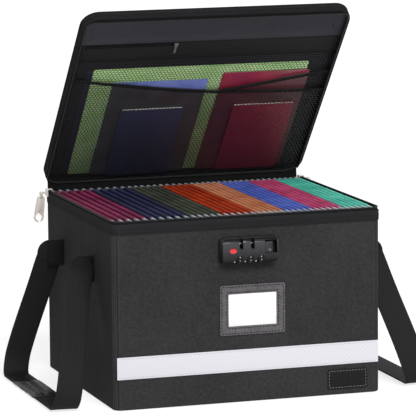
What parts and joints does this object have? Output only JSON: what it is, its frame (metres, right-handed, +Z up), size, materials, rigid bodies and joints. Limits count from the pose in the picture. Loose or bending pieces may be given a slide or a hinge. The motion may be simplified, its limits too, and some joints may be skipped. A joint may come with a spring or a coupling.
{
  "type": "portable file box",
  "caption": "Fabric-covered file box with a zipped lid, mesh pockets, hanging folders on rails, a lock for the zip pulls and a webbing strap on each side.",
  "frame": {"origin": "centre of the base's underside, on the surface the box stands on", "axes": "+X to the right seen from the front, +Y to the hinge at the back, +Z up"},
  "size_m": [0.5427, 0.3596, 0.5219],
  "materials": {
    "woven_fabric": "woven canvas",
    "cardboard": "plain board",
    "lining_fabric": "smooth lining cloth",
    "base_fabric": "covered board",
    "binding_tape": "twill binding",
    "zip_tape": "woven zip tape",
    "rail_metal": "satin",
    "paper_burgundy": "matt card",
    "paper_navy": "matt card",
    "paper_grey_green": "matt card",
    "paper_orange": "matt card",
    "paper_tan": "matt card",
    "paper_blue": "matt card",
    "paper_rose": "matt card",
    "paper_teal": "matt card",
    "rod_metal": "coated",
    "reflective_tape": "reflective cloth",
    "label_leather": "fine grain",
    "label_paper": "plain card",
    "patch_leather": "fine grain",
    "lock_plastic": "polished",
    "lock_plate_plastic": "moulded",
    "red_plastic": "polished",
    "dial_plastic": "moulded",
    "lock_steel": "drawn",
    "webbing": "ribbed webbing",
    "grip_cover": "smooth padded cover",
    "zip_metal": "polished die-cast",
    "lid_fabric": "woven canvas",
    "header_fabric": "smooth cloth",
    "net": "knitted mesh",
    "elastic": "ribbed elastic",
    "folder_green": "smooth card",
    "card_blue": "smooth card",
    "card_red": "glossy card",
    "booklet_navy": "grained cover",
    "booklet_wine": "grained cover"
  },
  "bodies": {
    "box": {"fabric_shell": "woven_fabric", "front_board": "cardboard", "back_board": "cardboard", "left_boards": "cardboard", "right_boards": "cardboard", "inner_lining": "lining_fabric", "base_insert": "base_fabric", "rim_binding": "binding_tape", "box_zip_tape": "zip_tape", "front_rail": "rail_metal", "rear_rail": "rail_metal", "files_burgundy": "paper_burgundy", "files_navy": "paper_navy", "files_grey_green": "paper_grey_green", "files_orange": "paper_orange", "files_tan": "paper_tan", "files_blue": "paper_blue", "files_rose": "paper_rose", "files_teal": "paper_teal", "file_rods": "rod_metal", "reflective_stripe": "reflective_tape", "label_frame": "label_leather", "label_card": "label_paper", "corner_patch": "patch_leather", "lock_backplate": "lock_plate_plastic", "lock_housing": "lock_plastic", "lock_inlay": "red_plastic", "dial_axle": "lock_steel", "left_strap_anchors": "webbing", "right_strap_anchors": "webbing", "hinge_tape_box": "binding_tape"},
    "lid": {"lid_cover": "lid_fabric", "lid_board": "cardboard", "lid_lining": "lining_fabric", "lid_binding": "binding_tape", "lid_zip_tape": "zip_tape", "header_panel": "header_fabric", "header_zip": "zip_tape", "mesh_large": "net", "mesh_front": "net", "pocket_bindings": "elastic", "green_folder": "folder_green", "blue_card": "card_blue", "red_card": "card_red", "navy_booklet": "booklet_navy", "wine_booklet": "booklet_wine", "hinge_tape_lid": "binding_tape"},
    "header_pull": {"header_zip_pull": "zip_metal"},
    "left_handle": {"left_strap": "webbing", "left_grip": "grip_cover"},
    "right_handle": {"right_strap": "webbing"},
    "left_slider": {"left_zip_slider": "zip_metal"},
    "left_pull": {"left_zip_pull": "zip_metal"},
    "right_slider": {"right_zip_slider": "zip_metal"},
    "right_pull": {"right_zip_pull": "zip_metal"},
    "left_dial": {"dial_left": "dial_plastic"},
    "middle_dial": {"dial_middle": "dial_plastic"},
    "right_dial": {"dial_right": "dial_plastic"},
    "release": {"release_slider": "lock_plastic", "latch_bar": "lock_steel"}
  },
  "joints": [
    {"name": "lid_hinge", "type": "hinge", "parent": "box", "child": "lid", "pos_m": [0, 0.169, 0.258], "axis": [-1, 0, 0], "range_deg": [-48.5, 131.5]},
    {"name": "header_zip_slide", "type": "slide", "parent": "lid", "child": "header_pull", "axis": [-1, 0, 0], "range_m": [0, 0.12]},
    {"name": "left_strap_swing", "type": "hinge", "parent": "box", "child": "left_handle", "pos_m": [-0.2085, 0, 0.178], "axis": [0, 1, 0], "range_deg": [0, 150]},
    {"name": "right_strap_swing", "type": "hinge", "parent": "box", "child": "right_handle", "pos_m": [0.2085, 0, 0.178], "axis": [0, -1, 0], "range_deg": [0, 150]},
    {"name": "left_zip_slide", "type": "slide", "parent": "box", "child": "left_slider", "axis": [0, -1, 0], "range_m": [0, 0.28]},
    {"name": "left_pull_swing", "type": "hinge", "parent": "left_slider", "child": "left_pull", "pos_m": [-0.1995, 0.15, 0.251], "axis": [0, 1, 0], "range_deg": [-8, 140]},
    {"name": "right_zip_slide", "type": "slide", "parent": "box", "child": "right_slider", "axis": [0, -1, 0], "range_m": [0, 0.28]},
    {"name": "right_pull_swing", "type": "hinge", "parent": "right_slider", "child": "right_pull", "pos_m": [0.1995, 0.15, 0.251], "axis": [0, -1, 0], "range_deg": [-8, 140]},
    {"name": "left_dial_spin", "type": "hinge", "parent": "box", "child": "left_dial", "pos_m": [-0.017, -0.1742, 0.1971], "axis": [1, 0, 0], "continuous": true},
    {"name": "middle_dial_spin", "type": "hinge", "parent": "box", "child": "middle_dial", "pos_m": [-0.002, -0.1742, 0.1971], "axis": [1, 0, 0], "continuous": true},
    {"name": "right_dial_spin", "type": "hinge", "parent": "box", "child": "right_dial", "pos_m": [0.013, -0.1742, 0.1971], "axis": [1, 0, 0], "continuous": true},
    {"name": "release_slide", "type": "slide", "parent": "box", "child": "release", "axis": [1, 0, 0], "range_m": [0, 0.004], "stiffness_N_per_m": 300, "springref_m": -0.002}
  ]
}
